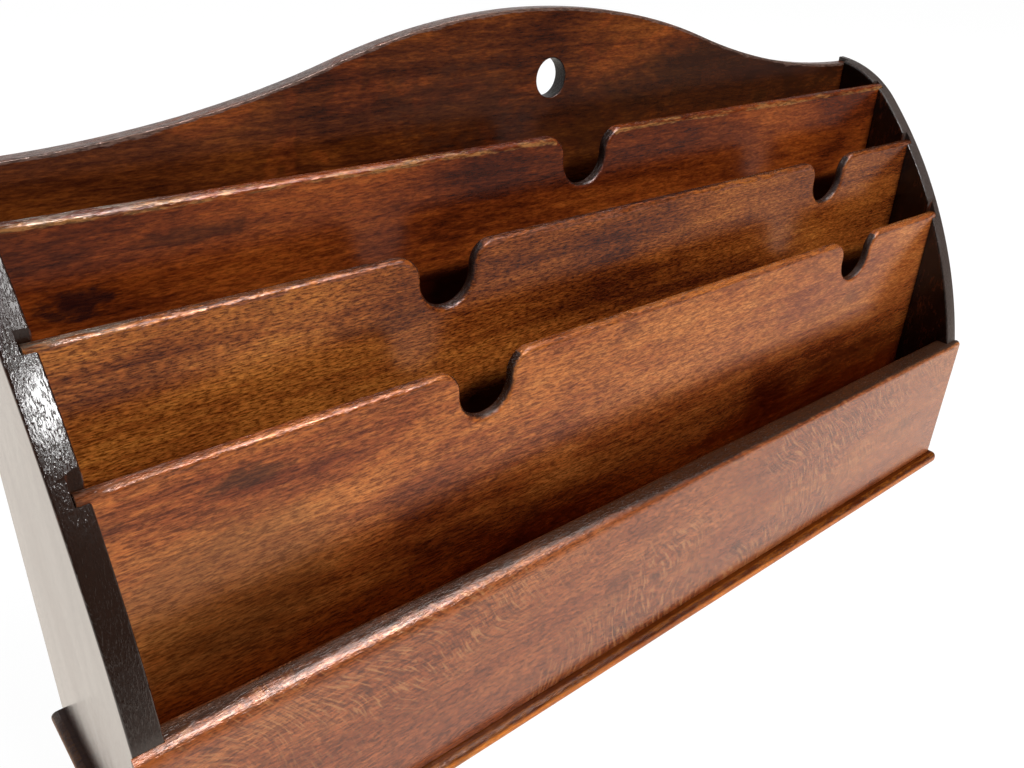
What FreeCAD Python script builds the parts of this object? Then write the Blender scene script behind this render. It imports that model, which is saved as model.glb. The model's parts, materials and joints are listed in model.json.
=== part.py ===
import FreeCAD, Part
import math
import os

# Desk letter rack in thin stained hardwood.
# Frame: millimetres, +Z up, -Y towards the user, +X to the user's right.
# The origin is on the floor, under the middle of the base board.

# Driving dimensions of the case
case_width = 340.0
case_depth = 79.5
side_height = 155.3
front_board_height = 53.7

# Board thicknesses
side_thickness = 6.8
back_thickness = 4.8
front_thickness = 7.5
divider_thickness = 3.0
base_thickness = 4.6

# Base board
base_overhang = 3.3
base_edge_radius = 1.9
base_corner_radius = 2.4

# Curved front edge of the sides
shoulder_radius = 43.3
shoulder_start_angle = 5.3
shoulder_end_angle = 45.5
side_edge_chamfer = 0.5

# Crest of the back board, measured from the tops of the sides; its peak is left of the middle
crest_rise = 25.5
crest_left_end_rise = 0.4
crest_right_end_drop = 1.5
crest_peak_offset = 6.6
crest_left_turn_share = 0.42
crest_right_turn_share = 0.44
crest_edge_chamfer = 0.7

# Hanging hole, measured down from the top of the crest
hanging_hole_radius = 5.8
hanging_hole_drop = 20.2

# Joints between the boards
housing_depth = 3.2
housing_play = 0.15
housing_end_play = 0.5
front_lip = 2.2
front_board_overrun = 0.4
front_edge_radius = 1.9

# Thumb notches, placed as shares of half the clear width between the sides
single_notch_shares = (0.0,)
double_notch_shares = (-0.393, 0.675)
notch_depth = 16.0
notch_throat_radius = 8.4
notch_corner_radius = 6.6

# Tops of the dividers, against the curved edge of the sides beside them
back_divider_proud = 0.15
middle_divider_drop = 0.9
front_divider_drop = 1.05
divider_edge_chamfer = 0.7

# Pins: plain steel wire, driven in and punched below the surface
pin_radius = 0.75
pin_punched_in = 0.4
base_pin_length = 17.0
back_pin_length = 11.0
front_pin_length = 13.0
pin_end_margin = 18.0
side_base_pin_count = 2
long_base_pin_count = 3
back_pin_count = 3
front_pin_count = 2

# How far a cutting tool runs past the wood
overrun = 5.0

# Planes that the pieces share
half_width = case_width / 2
inner_half_width = half_width - side_thickness
base_depth = case_depth + base_overhang
back_face_y = base_depth / 2
front_face_y = back_face_y - case_depth
back_board_front_y = back_face_y - back_thickness
front_board_back_y = front_face_y + front_thickness
side_front_y = front_face_y + front_lip
base_top_z = base_thickness
side_top_z = base_top_z + side_height
crest_left_end_z = side_top_z + crest_left_end_rise
crest_right_end_z = side_top_z - crest_right_end_drop
crest_z = side_top_z + crest_rise
front_board_top_z = base_top_z + front_board_height

# Three dividers share the clear depth in four equal pockets
divider_names = ("back_divider", "middle_divider", "front_divider")
divider_prouds = (back_divider_proud, -middle_divider_drop, -front_divider_drop)
divider_count = len(divider_names)
clear_depth = back_board_front_y - front_board_back_y - divider_count * divider_thickness
pocket_depth = clear_depth / (divider_count + 1)
divider_half_width = inner_half_width + housing_depth - housing_end_play

# The back board lies in a rebate half way through each side
rebate_width = side_thickness / 2
back_board_half_width = half_width - rebate_width


def vec(x, y, z):
    return FreeCAD.Vector(x, y, z)


def direction(angle):
    """Unit vector in the YZ plane, at an angle in degrees from the vertical towards the user."""
    turn = math.radians(angle)
    return vec(0, -math.sin(turn), math.cos(turn))


def bow(start, end, centre, radius):
    """Arc from start to end about a centre, the short way round."""
    middle = (start + end) * 0.5 - centre
    middle.normalize()
    return Part.Arc(start, centre + middle * radius, end).toShape()


def line(start, end):
    return Part.LineSegment(start, end).toShape()


def prism(edges, travel):
    """Solid swept by a closed outline of edges along a straight travel."""
    return Part.Face(Part.Wire(edges)).extrude(travel)


def block_between(corner, opposite):
    """Box between two opposite corners, given in either order."""
    low = [min(pair) for pair in zip(corner, opposite)]
    size = [abs(second - first) for first, second in zip(corner, opposite)]
    return Part.makeBox(size[0], size[1], size[2], vec(low[0], low[1], low[2]))


def edges_where(shape, test):
    """Edges of a shape whose every sampled point passes a test."""
    found = []
    for edge in shape.Edges:
        points = edge.discretize(3)
        if all(test(point) for point in points):
            found.append(edge)
    return found


def arc_edges(shape):
    """Edges of a shape that are round."""
    return [edge for edge in shape.Edges if isinstance(edge.Curve, Part.Circle)]


# Curved front edge of the sides: a tight shoulder arc that runs into a long shallow one

def side_curve():
    """Start, join and end points of the two arcs, with their centres and radii."""
    top = vec(0, back_face_y, side_top_z)
    shoulder_centre = top - direction(shoulder_start_angle) * shoulder_radius
    outward = direction(shoulder_end_angle)
    join = shoulder_centre + outward * shoulder_radius
    end = vec(0, side_front_y, front_board_top_z)
    chord = end - join
    long_radius = -chord.dot(chord) / (2 * outward.dot(chord))
    long_centre = join - outward * long_radius
    return {
        "top": top,
        "join": join,
        "end": end,
        "shoulder_centre": shoulder_centre,
        "long_centre": long_centre,
        "long_radius": long_radius,
    }


def side_edge_height(y):
    """Height of the curved edge of a side above a place y in its depth."""
    curve = side_curve()
    if y > curve["join"].y:
        centre, radius = curve["shoulder_centre"], shoulder_radius
    else:
        centre, radius = curve["long_centre"], curve["long_radius"]
    return centre.z + math.sqrt(radius ** 2 - (y - centre.y) ** 2)


def divider_back_y(index):
    """Rear face of a divider, counted from the back of the rack."""
    return back_board_front_y - pocket_depth - index * (pocket_depth + divider_thickness)


def divider_top_z(index):
    middle_y = divider_back_y(index) - divider_thickness / 2
    return side_edge_height(middle_y) + divider_prouds[index]


# Sides

def side_blank(x):
    """Side board with its inner or outer face in the plane x, as thick as a side towards +X."""
    curve = side_curve()
    shift = vec(x, 0, 0)
    top = curve["top"] + shift
    join = curve["join"] + shift
    end = curve["end"] + shift
    toe = vec(x, side_front_y, base_top_z)
    heel = vec(x, back_face_y, base_top_z)
    outline = [
        bow(top, join, curve["shoulder_centre"] + shift, shoulder_radius),
        bow(join, end, curve["long_centre"] + shift, curve["long_radius"]),
        line(end, toe),
        line(toe, heel),
        line(heel, top),
    ]
    return prism(outline, vec(side_thickness, 0, 0))


def side_board(side):
    """Side board at the left (-1) or the right (1), with its rebate and open housings."""
    inner = side * inner_half_width
    board = side_blank(min(inner, side * half_width))
    board = board.makeChamfer(side_edge_chamfer, arc_edges(board))
    before_inner = side * (inner_half_width - overrun)
    rebate = block_between(
        vec(before_inner, back_board_front_y, base_top_z - overrun),
        vec(side * back_board_half_width, back_face_y + overrun, side_top_z + overrun),
    )
    board = board.cut(rebate)
    for index in range(divider_count):
        rear = divider_back_y(index)
        housing = block_between(
            vec(before_inner, rear - divider_thickness - housing_play, base_top_z - overrun),
            vec(side * (inner_half_width + housing_depth), rear + housing_play, side_top_z + overrun),
        )
        board = board.cut(housing)
    return board


# Back board, with two tangent arcs on each side of its peak

def crest_half(peak, end, turn_share):
    """Hollow and arch of one side of the crest, level at its end and at the peak."""
    length = end.x - peak.x
    turn = 2 * math.atan((peak.z - end.z) / abs(length))
    arch_radius = abs(length) * turn_share / math.sin(turn)
    hollow_radius = abs(length) * (1 - turn_share) / math.sin(turn)
    arch_centre = peak - vec(0, 0, arch_radius)
    hollow_centre = end + vec(0, 0, hollow_radius)
    place = arch_centre + vec(length * turn_share, 0, arch_radius * math.cos(turn))
    return [
        bow(end, place, hollow_centre, hollow_radius),
        bow(place, peak, arch_centre, arch_radius),
    ]


def crest_edges(y, half_length):
    """Edges of the crest, from the right end over the peak to the left end."""
    peak = vec(-crest_peak_offset, y, crest_z)
    right_end = vec(half_length, y, crest_right_end_z)
    left_end = vec(-half_length, y, crest_left_end_z)
    right = crest_half(peak, right_end, crest_right_turn_share)
    left = crest_half(peak, left_end, crest_left_turn_share)
    return right + left[::-1]


def back_board():
    y = back_board_front_y
    half = back_board_half_width
    outline = crest_edges(y, half)
    outline.append(line(vec(-half, y, crest_left_end_z), vec(-half, y, base_top_z)))
    outline.append(line(vec(-half, y, base_top_z), vec(half, y, base_top_z)))
    outline.append(line(vec(half, y, base_top_z), vec(half, y, crest_right_end_z)))
    board = prism(outline, vec(0, back_thickness, 0))
    board = board.makeChamfer(crest_edge_chamfer, arc_edges(board))
    hole = Part.makeCylinder(
        hanging_hole_radius,
        back_thickness + 2 * overrun,
        vec(0, back_board_front_y - overrun, crest_z - hanging_hole_drop),
        vec(0, 1, 0),
    )
    return board.cut(hole)


# Front board

def front_board():
    """Low front board, its ends rebated to leave a lip over the front edge of each side."""
    outer = half_width + front_board_overrun
    board = block_between(
        vec(-outer, front_face_y, base_top_z),
        vec(outer, front_board_back_y, front_board_top_z),
    )

    def on_top_arris(point):
        return abs(point.z - front_board_top_z) < front_edge_radius / 2 and abs(point.x) <= outer

    long_edges = [
        edge for edge in edges_where(board, on_top_arris) if edge.BoundBox.XLength > half_width
    ]
    board = board.makeFillet(front_edge_radius, long_edges)
    for side in (-1, 1):
        rebate = block_between(
            vec(side * inner_half_width, side_front_y, base_top_z - overrun),
            vec(side * (outer + overrun), front_board_back_y + overrun, front_board_top_z + overrun),
        )
        board = board.cut(rebate)
    return board


# Dividers

def notch_cutter(centre_x, top_z, rear_y):
    """Prism for one thumb notch: round throat, short straight walls and flared corners."""
    y = rear_y - divider_thickness - overrun
    throat_z = top_z - notch_depth + notch_throat_radius
    corner_z = top_z - notch_corner_radius
    throat = notch_throat_radius
    mouth = notch_throat_radius + notch_corner_radius
    throat_centre = vec(centre_x, y, throat_z)
    points = {}
    for name, side in (("left", -1), ("right", 1)):
        points[name] = {
            "mouth": vec(centre_x + side * mouth, y, top_z),
            "corner": vec(centre_x + side * throat, y, corner_z),
            "throat": vec(centre_x + side * throat, y, throat_z),
            "centre": vec(centre_x + side * mouth, y, corner_z),
            "above": vec(centre_x + side * mouth, y, top_z + overrun),
        }
    left, right = points["left"], points["right"]
    floor = throat_centre - vec(0, 0, notch_throat_radius)
    outline = [
        line(left["above"], left["mouth"]),
        bow(left["mouth"], left["corner"], left["centre"], notch_corner_radius),
        line(left["corner"], left["throat"]),
        Part.Arc(left["throat"], floor, right["throat"]).toShape(),
        line(right["throat"], right["corner"]),
        bow(right["corner"], right["mouth"], right["centre"], notch_corner_radius),
        line(right["mouth"], right["above"]),
        line(right["above"], left["above"]),
    ]
    return prism(outline, vec(0, divider_thickness + 2 * overrun, 0))


def divider(index, notch_shares):
    """Thin board that stands in the housings, with its top edge and notches eased."""
    rear = divider_back_y(index)
    top_z = divider_top_z(index)
    board = block_between(
        vec(-divider_half_width, rear - divider_thickness, base_top_z),
        vec(divider_half_width, rear, top_z),
    )
    for share in notch_shares:
        board = board.cut(notch_cutter(share * inner_half_width, top_z, rear))
    lowest = top_z - notch_depth

    def on_rim(point):
        faces = (rear, rear - divider_thickness)
        on_face = min(abs(point.y - face) for face in faces) < divider_edge_chamfer / 2
        return on_face and point.z > lowest - divider_edge_chamfer

    return board.makeChamfer(divider_edge_chamfer, edges_where(board, on_rim))


# Base board

def base_board():
    """Plinth board with a thumb-rounded front and ends, and a square back."""
    outer = half_width + base_overhang
    board = block_between(
        vec(-outer, front_face_y - base_overhang, 0),
        vec(outer, back_face_y, base_thickness),
    )

    def on_front_corner(point):
        return point.y < back_face_y - base_depth / 2 and abs(point.x) > half_width

    corners = [
        edge for edge in edges_where(board, on_front_corner)
        if edge.BoundBox.ZLength > base_thickness / 2
    ]
    board = board.makeFillet(base_corner_radius, corners)

    def on_shown_rim(point):
        return point.y < back_face_y

    def is_level(edge):
        return edge.BoundBox.ZLength < base_thickness / 2

    rim = [
        edge for edge in board.Edges
        if is_level(edge) and on_shown_rim(edge.CenterOfMass)
    ]
    return board.makeFillet(base_edge_radius, rim)


# Pins: each is a headless round pin in the hole that it was driven into

def driven_pin(entry, travel, length):
    """Pin that starts just under an entry point on the surface and runs along travel."""
    return Part.makeCylinder(pin_radius, length, entry + travel * pin_punched_in, travel)


def pin_hole(entry, travel, length):
    return Part.makeCylinder(pin_radius, length + pin_punched_in, entry, travel)


def spread(count, low, high):
    """Even places from low to high."""
    step = (high - low) / (count - 1)
    return [low + step * index for index in range(count)]


def base_pin_entries():
    """Pins into the two sides, then into the back board and the front board."""
    side_x = half_width - side_thickness / 4
    depth_places = spread(
        side_base_pin_count, side_front_y + pin_end_margin, back_board_front_y - pin_end_margin
    )
    along = spread(
        long_base_pin_count, pin_end_margin - inner_half_width, inner_half_width - pin_end_margin
    )
    entries = []
    for side in (-1, 1):
        entries += [vec(side * side_x, y, 0) for y in depth_places]
    entries += [vec(x, back_face_y - back_thickness / 2, 0) for x in along]
    entries += [vec(x, front_face_y + front_thickness / 2, 0) for x in along]
    return entries


def back_pin_entries():
    """Pins through the back board into the strip of each side behind the rebate."""
    x = back_board_half_width - rebate_width / 2
    heights = spread(back_pin_count, base_top_z + pin_end_margin, side_top_z - pin_end_margin)
    return [vec(side * x, back_face_y, z) for side in (-1, 1) for z in heights]


def front_pin_entries():
    """Pins through the lips of the front board into the front edges of the sides."""
    x = half_width - side_thickness / 2
    heights = spread(
        front_pin_count,
        base_top_z + front_board_height / 4,
        front_board_top_z - front_board_height / 4,
    )
    return [vec(side * x, front_face_y, z) for side in (-1, 1) for z in heights]


def pin_groups():
    up = vec(0, 0, 1)
    forward = vec(0, -1, 0)
    rearward = vec(0, 1, 0)
    return {
        "base_pins": (base_pin_entries(), up, base_pin_length),
        "back_pins": (back_pin_entries(), forward, back_pin_length),
        "front_pins": (front_pin_entries(), rearward, front_pin_length),
    }


def drill(piece, groups, names):
    """Cut the holes of the named pin groups where they meet a piece."""
    box = piece.optimalBoundingBox()
    for name in names:
        entries, travel, length = groups[name]
        for entry in entries:
            hole = pin_hole(entry, travel, length)
            if box.intersect(hole.BoundBox):
                piece = piece.cut(hole)
    return piece


def build():
    """All pieces of the rack, by node name."""
    groups = pin_groups()
    pieces = {
        "base_board": drill(base_board(), groups, ["base_pins"]),
        "left_side": drill(side_board(-1), groups, groups),
        "right_side": drill(side_board(1), groups, groups),
        "back_board": drill(back_board(), groups, ["base_pins", "back_pins"]),
        "front_board": drill(front_board(), groups, ["base_pins", "front_pins"]),
    }
    notches = (single_notch_shares, double_notch_shares, double_notch_shares)
    for index, name in enumerate(divider_names):
        pieces[name] = divider(index, notches[index])
    for name, (entries, travel, length) in groups.items():
        pieces[name] = Part.makeCompound([driven_pin(entry, travel, length) for entry in entries])
    return pieces


os.makedirs("parts", exist_ok=True)
for name, piece in build().items():
    piece.exportStep("parts/" + name + ".step")
    box = piece.optimalBoundingBox()
    print(
        name, "solids", len(piece.Solids), "valid", piece.isValid(), "volume", round(piece.Volume, 1),
        "x", round(box.XMin, 2), round(box.XMax, 2),
        "y", round(box.YMin, 2), round(box.YMax, 2),
        "z", round(box.ZMin, 2), round(box.ZMax, 2),
    )
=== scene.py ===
# %% [markdown]
# # A letter rack for a desk
# The rack is a small case of thin stained hardwood: a plinth, two curved ends, a tall
# back with a shaped crest, a low front and three dividers with thumb notches.
# The CAD frame fixes every size. This lesson rebuilds each board as a mesh with eased
# arrises, and gives it a French-polished finish.

import json
import math

import bmesh
import bpy
import numpy as np
from mathutils import Matrix, Vector, noise
from mathutils.bvhtree import BVHTree
from mathutils.interpolate import poly_3d_calc


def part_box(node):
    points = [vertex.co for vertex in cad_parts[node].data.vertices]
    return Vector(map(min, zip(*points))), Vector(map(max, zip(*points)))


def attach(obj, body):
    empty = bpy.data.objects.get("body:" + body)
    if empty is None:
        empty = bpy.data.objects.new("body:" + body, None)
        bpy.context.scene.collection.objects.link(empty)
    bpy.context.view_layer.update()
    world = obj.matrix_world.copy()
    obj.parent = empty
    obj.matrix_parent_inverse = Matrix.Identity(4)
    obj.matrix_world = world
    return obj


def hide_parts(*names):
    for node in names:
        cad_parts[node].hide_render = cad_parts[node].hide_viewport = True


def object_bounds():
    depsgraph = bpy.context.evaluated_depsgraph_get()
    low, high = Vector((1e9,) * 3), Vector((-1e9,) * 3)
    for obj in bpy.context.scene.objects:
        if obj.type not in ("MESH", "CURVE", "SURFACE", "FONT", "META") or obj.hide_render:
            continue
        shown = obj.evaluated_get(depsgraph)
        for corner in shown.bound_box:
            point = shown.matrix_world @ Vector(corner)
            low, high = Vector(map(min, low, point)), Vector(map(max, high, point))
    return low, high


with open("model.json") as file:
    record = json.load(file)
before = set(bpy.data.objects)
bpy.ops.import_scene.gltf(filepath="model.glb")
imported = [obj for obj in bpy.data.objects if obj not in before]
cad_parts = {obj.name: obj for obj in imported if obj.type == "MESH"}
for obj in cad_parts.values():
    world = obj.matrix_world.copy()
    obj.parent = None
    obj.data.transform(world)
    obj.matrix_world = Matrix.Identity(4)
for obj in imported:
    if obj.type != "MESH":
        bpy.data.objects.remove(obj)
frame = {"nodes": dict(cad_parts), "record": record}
cad_low, cad_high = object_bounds()
MM = 0.001
print("frame", [round(v / MM, 1) for v in cad_high - cad_low], "mm")

# %% [markdown]
# ## Camera
# The photograph was taken from above the left front corner, close to the rack, so the
# near end looks large. The lens and the place were found by fitting the straight edges
# of the boards. Blender wants the camera's own axes as the columns of its matrix.

# %% Camera
PICTURE_WIDTH = 1024
FOCAL_PIXELS = 917.41
FILM_WIDTH = 36
AZIMUTH, ELEVATION, ROLL = (math.radians(v) for v in (-41.049, 28.226, 2.7105))
CAMERA_PLACE = Vector((-197.53, -178.69, 215.06)) * MM
NEAREST_SEEN = 10 * MM


def studio_camera():
    ahead = Vector((
        -math.sin(AZIMUTH) * math.cos(ELEVATION),
        math.cos(AZIMUTH) * math.cos(ELEVATION),
        -math.sin(ELEVATION),
    ))
    level = Vector((math.cos(AZIMUTH), math.sin(AZIMUTH), 0))
    upward = level.cross(ahead)
    right = math.cos(ROLL) * level + math.sin(ROLL) * upward
    top = -math.sin(ROLL) * level + math.cos(ROLL) * upward
    data = bpy.data.cameras.new("studio_camera")
    data.sensor_fit = "HORIZONTAL"
    data.sensor_width = FILM_WIDTH
    data.lens = FOCAL_PIXELS / PICTURE_WIDTH * FILM_WIDTH
    data.clip_start = NEAREST_SEEN
    camera = bpy.data.objects.new("studio_camera", data)
    turn = Matrix((right, top, -ahead)).transposed()
    camera.matrix_world = Matrix.Translation(CAMERA_PLACE) @ turn.to_4x4()
    bpy.context.scene.collection.objects.link(camera)
    bpy.context.scene.camera = camera
    return camera


camera = studio_camera()
print("lens", round(camera.data.lens, 2), "mm")

# %% [markdown]
# ## How a board is made
# Every board is a flat outline with a thickness. A plain extrusion has razor edges that
# no light catches, so the outline is stacked in rings instead. The rings at a face lie
# inside the outline, the next ones turn over the arris as a quarter circle, and the
# rest is the edge. Two more rings on each face leave room for the polish to be rubbed
# through near the arris, which the attribute "rub" records. The attribute "edge" is 1
# on the edge of the board and 0 on its faces, and a third attribute says how black that
# edge is: dirt, and on the notch walls a painted shade.

# %% Insetting an outline
SHARPEST_SMOOTH_TURN = math.sin(math.radians(15))


def inset(loop, distances):
    """Outline moved into the wood, edge i, from point i to the next, by its own distance."""
    travel = np.roll(loop, -1, axis=0) - loop
    travel /= np.linalg.norm(travel, axis=1)[:, None]
    after = np.stack([-travel[:, 1], travel[:, 0]], axis=1)
    before = np.roll(after, 1, axis=0)
    moved = []
    corners = zip(loop, before, after, np.roll(distances, 1), distances)
    for point, one, two, d_one, d_two in corners:
        turn = one[0] * two[1] - one[1] * two[0]
        if abs(turn) > SHARPEST_SMOOTH_TURN:
            shift = np.array([
                d_one * two[1] - d_two * one[1],
                d_two * one[0] - d_one * two[0],
            ]) / turn
        else:
            shift = (one + two) / np.linalg.norm(one + two) * (d_one + d_two) / 2
        moved.append(point + shift)
    return np.array(moved)


square = np.array([[0, 0], [10, 0], [10, 10], [0, 10]], float)
print("a 10 mm square, 1 mm in:", inset(square, np.ones(len(square))).tolist())

# %% Rings of a board
ARRIS_STEPS = 5
FACE_RUB, RUB_LOST_OVER_ARRIS = 0.35, 0.4
PUNCH_SIDES = 12


def ring_levels(margins):
    """(turn over the arris, margin on the face, rub, edge) of each ring, from face to edge."""
    wide, narrow = margins
    levels = [(0.0, wide, 0.0, 0.0), (0.0, narrow, FACE_RUB, 0.0)]
    for step in range(ARRIS_STEPS + 1):
        share = step / ARRIS_STEPS
        levels.append((share * math.pi / 2, 0.0, 1 - RUB_LOST_OVER_ARRIS * share, share))
    return levels


class BoardMaker:
    """Builds a board ring by ring. place(points, depth) puts points of its flat outline into
    the frame at a depth under the near face. Lengths are in millimetres."""

    def __init__(self, thickness, place):
        self.work = bmesh.new()
        layers = self.work.verts.layers.float
        self.rub, self.edge, self.dirt_and_shade = (layers.new(mark) for mark in ("rub", "edge", "dirt_and_shade"))
        self.thickness, self.place = thickness, place
        self.rims = ([], [])

    def ring(self, points, depths, rubs, edge, dirt_and_shade_levels):
        made = []
        for spot, rub, dirt_and_shade in zip(self.place(points, depths), rubs, dirt_and_shade_levels):
            corner = self.work.verts.new([c * MM for c in spot])
            corner[self.rub] = rub
            corner[self.edge] = edge
            corner[self.dirt_and_shade] = dirt_and_shade
            made.append(corner)
        return made

    def wall(self, ring, following, smooth):
        for i in range(len(ring)):
            j = (i + 1) % len(ring)
            face = self.work.faces.new((ring[i], ring[j], following[j], following[i]))
            face.smooth = smooth

    def loop(self, points, eases, wear, dirt_and_shade, margins):
        """All rings of one outline or hole, from the near face round to the far one."""
        rings = []
        for far, ease in enumerate(eases):
            at_point = np.maximum(ease, np.roll(ease, 1))
            side = []
            for turn, margin, rub, edge in ring_levels(margins[far]):
                moved = inset(points, ease * (1 - math.sin(turn)) + margin)
                depths = at_point * (1 - math.cos(turn))
                if far:
                    depths = self.thickness - depths
                side.append(self.ring(moved, depths, wear * rub, edge, dirt_and_shade * edge))
            self.rims[far].append(side[0])
            rings += side[::-1] if far else side
        for index, (ring, following) in enumerate(zip(rings, rings[1:])):
            self.wall(ring, following, smooth=2 <= index < len(rings) - 3)

    def punch(self, far, centre, radius, depth):
        """A small round hole in one face, with a dark bottom."""
        turns = np.linspace(0, -2 * math.pi, PUNCH_SIDES, endpoint=False)
        circle = np.array(centre) + radius * np.stack([np.cos(turns), np.sin(turns)], axis=1)
        level, floor = (self.thickness, self.thickness - depth) if far else (0.0, depth)
        none = np.zeros(PUNCH_SIDES)
        mouth = self.ring(circle, none + level, none, 0, none)
        bottom = self.ring(circle, none + floor, none, 1, none + 1)
        self.wall(mouth, bottom, smooth=False)
        self.work.faces.new(bottom)
        self.rims[far].append(mouth)

    def fill(self, far):
        """The flat face between all its rims."""
        bounds = [
            self.work.edges.get((rim[i], rim[(i + 1) % len(rim)]))
            for rim in self.rims[far] for i in range(len(rim))
        ]
        filled = bmesh.ops.triangle_fill(self.work, edges=bounds, use_beauty=True)
        for face in filled["geom"]:
            if isinstance(face, bmesh.types.BMFace):
                face.smooth = False


print("rings on each side of a board", len(ring_levels((2.0, 1.0))))

# %% A board from its loops
def new_piece(name, mesh):
    piece = bpy.data.objects.new(name, mesh)
    bpy.context.scene.collection.objects.link(piece)
    return piece


def board_mesh(name, loops, thickness, place, margins, punches=((), ())):
    """Closed board. Each loop is (points, eases at the near face, eases at the far face,
    wear, soot), the outline counter-clockwise and holes clockwise."""
    maker = BoardMaker(thickness, place)
    for points, near_ease, far_ease, wear, dirt_and_shade in loops:
        maker.loop(points, (near_ease, far_ease), wear, dirt_and_shade, margins)
    for far in (0, 1):
        for punch in punches[far]:
            maker.punch(far, *punch)
        maker.fill(far)
    work = maker.work
    bmesh.ops.recalc_face_normals(work, faces=work.faces)
    open_edges = sum(not e.is_manifold for e in work.edges)
    mesh = bpy.data.meshes.new(name)
    work.to_mesh(mesh)
    work.free()
    print(name, "faces", len(mesh.polygons), "open edges", open_edges)
    return new_piece(name, mesh)


print("arris turned in", ARRIS_STEPS, "steps")

# %% [markdown]
# ## Outlines
# A maker draws a board with a ruler and a compass, so each outline here is a list of
# straight runs and arcs. Short steps keep the curves smooth, and enough points on a
# straight run let the rounding of its edge change along it, as hand wear does. The ease
# of an edge is how far its arris is rounded.

# %% Outlines from straight runs and arcs
RUN_STEP = 6.0
ARC_STEP_DEGREES = 7.5
SWELL_LENGTH, SWELL_GAIN = 24.0, 1.6


def run(start, end, step=RUN_STEP):
    """Points from start up to, but not at, end."""
    start, end = np.array(start, float), np.array(end, float)
    count = max(1, round(float(np.linalg.norm(end - start)) / step))
    return [start + (end - start) * i / count for i in range(count)]


def arc(centre, radius, start, end, step=ARC_STEP_DEGREES):
    """Points on an arc between two angles in degrees, without its last one."""
    count = max(2, round(abs(end - start) / step))
    turns = np.radians([start + (end - start) * i / count for i in range(count)])
    return [np.array(centre) + radius * np.array([math.cos(t), math.sin(t)]) for t in turns]


def eased(points, is_shown, shown, hidden, seed, variation=0.25):
    """Ease of each edge of an outline: rounder where hands reach it, and a little uneven."""
    middles = (points + np.roll(points, -1, axis=0)) / 2
    swells = np.array([
        noise.noise(Vector((x / SWELL_LENGTH, y / SWELL_LENGTH, seed))) for x, y in middles
    ]) * SWELL_GAIN
    shares = 1 + variation * np.clip(swells, -1, 1)
    return np.where([is_shown(m) for m in middles], shown * shares, hidden)


def upright(front_y):
    """Placing of a board that stands across the rack, its near face towards the user."""
    def place(points, depths):
        return np.stack([points[:, 0], front_y + depths, points[:, 1]], axis=1)
    return place


def in_mm(node):
    """Lowest and highest corner of a CAD node."""
    low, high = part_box(node)
    return np.array(low) / MM, np.array(high) / MM


print("quarter circle in", len(arc((0, 0), 1, 0, 90)), "steps")

# %% [markdown]
# ## A kit for node trees
# Geometry Nodes, materials and the world are all trees of nodes. Adding a node, setting
# it up and linking its inputs takes many lines of Python, so a small class does all
# three at once. An input may be given a number, a socket, or a node, which then stands
# for its first output.

# %% A kit for node trees
class Nodes:
    """A node tree, emptied, and short ways to add to it."""

    def __init__(self, tree):
        self.tree = tree
        tree.nodes.clear()

    def give(self, socket, value):
        if isinstance(value, bpy.types.Node):
            value = value.outputs[0]
        if isinstance(value, bpy.types.NodeSocket):
            self.tree.links.new(value, socket)
        else:
            socket.default_value = value

    def add(self, kind, inputs=(), **settings):
        made = self.tree.nodes.new(kind)
        for label, value in settings.items():
            setattr(made, label, value)
        for label, value in dict(inputs).items():
            self.give(made.inputs[label], value)
        return made

    def math(self, operation, first, second=0.0, clamp=False):
        sides = {0: first, 1: second}
        return self.add("ShaderNodeMath", sides, operation=operation, use_clamp=clamp)

    def plus(self, first, second):
        return self.math("ADD", first, second)

    def minus(self, first, second):
        return self.math("SUBTRACT", first, second)

    def times(self, first, second):
        return self.math("MULTIPLY", first, second)

    def between(self, value, low, high, to_low=0.0, to_high=1.0):
        """Smooth step of a value from to_low at low to to_high at high."""
        return self.add("ShaderNodeMapRange", {
            "Value": value, "From Min": low, "From Max": high,
            "To Min": to_low, "To Max": to_high,
        }, interpolation_type="SMOOTHSTEP")


print("kit for node trees:", ", ".join(word for word in vars(Nodes) if word[0] != "_"))

# %% [markdown]
# ## Cutting joints with Geometry Nodes
# Each end of the rack has three equal housings for the dividers. They repeat at one
# step, so a Geometry Nodes tree sets out equal blocks along a line and cuts them from
# the board. The same tree cuts the rebates, which are a row of one or two blocks. The
# corners a cut makes have no "rub", "edge" or dirt-and-shade marks yet, so they take those
# of the old surface under them; those deep inside a cut are darkened half way, a painted shade.

# %% The cutting tree
def new_geometry_tree(name, sockets):
    """Geometry Nodes tree with a geometry in and out, and the given named inputs."""
    nodes = Nodes(bpy.data.node_groups.new(name, "GeometryNodeTree"))
    face = nodes.tree.interface
    for label, kind in {"Geometry": "Geometry", **sockets}.items():
        face.new_socket(label, in_out="INPUT", socket_type="NodeSocket" + kind)
    face.new_socket("Geometry", in_out="OUTPUT", socket_type="NodeSocketGeometry")
    return nodes, nodes.add("NodeGroupInput").outputs


def end_tree(nodes, given, geometry):
    """Every tree ends in real geometry with its material set."""
    real = nodes.add("GeometryNodeRealizeInstances", {"Geometry": geometry})
    paint = nodes.add("GeometryNodeSetMaterial", {
        "Geometry": real, "Material": given["Finish"],
    })
    nodes.add("NodeGroupOutput", {"Geometry": paint})
    return nodes.tree


def housing_tree():
    nodes, given = new_geometry_tree("Equal housings", {
        "Count": "Int", "First": "Vector", "Step": "Vector", "Block": "Vector",
        "Finish": "Material",
    })
    row = nodes.add("GeometryNodeMeshLine", {
        "Count": given["Count"], "Start Location": given["First"], "Offset": given["Step"],
    }, mode="OFFSET")
    block = nodes.add("GeometryNodeMeshCube", {"Size": given["Block"]})
    laid = nodes.add("GeometryNodeInstanceOnPoints", {"Points": row, "Instance": block})
    cut = nodes.add("GeometryNodeMeshBoolean", {
        "Mesh 1": given["Geometry"], "Mesh 2": laid,
    }, operation="DIFFERENCE")
    return end_tree(nodes, given, cut)


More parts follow.
